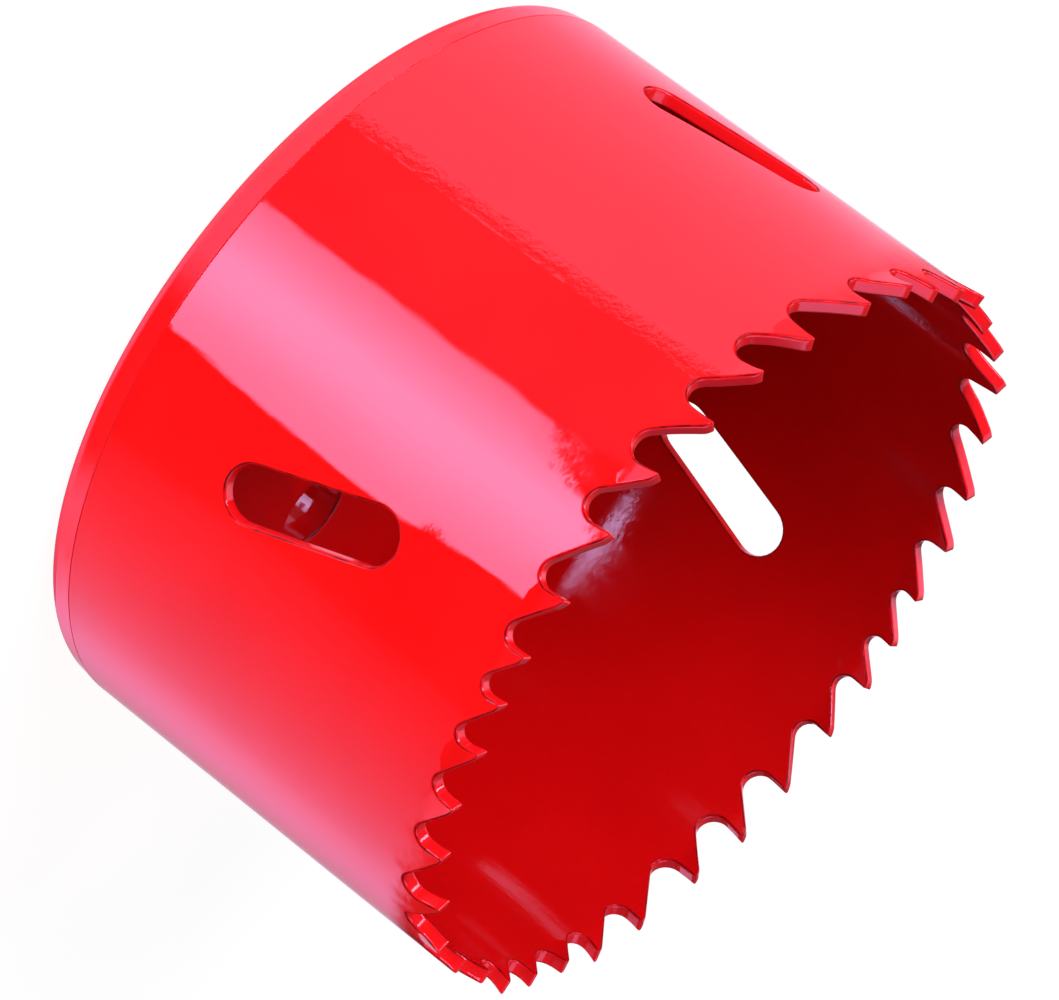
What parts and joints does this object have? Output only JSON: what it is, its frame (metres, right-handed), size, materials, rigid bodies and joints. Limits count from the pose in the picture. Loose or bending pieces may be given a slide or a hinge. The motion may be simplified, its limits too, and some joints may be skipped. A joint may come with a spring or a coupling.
{
  "type": "hole saw",
  "caption": "Cup-shaped hole saw with a ring of hooked teeth, slanted slots through its wall and a threaded end plate for an arbor.",
  "frame": {"origin": "centre of the end plate's outer face", "axes": "+Z along the saw's axis towards the tooth tips, with the slots centred on the +X, +Y, -X and -Y directions"},
  "size_m": [0.0683, 0.0684, 0.043],
  "materials": {
    "band_lacquer": "glossy red lacquer over steel",
    "plate_lacquer": "glossy red lacquer over steel"
  },
  "bodies": {
    "root": {"saw_shell": "band_lacquer", "end_plate": "plate_lacquer"}
  },
  "joints": []
}
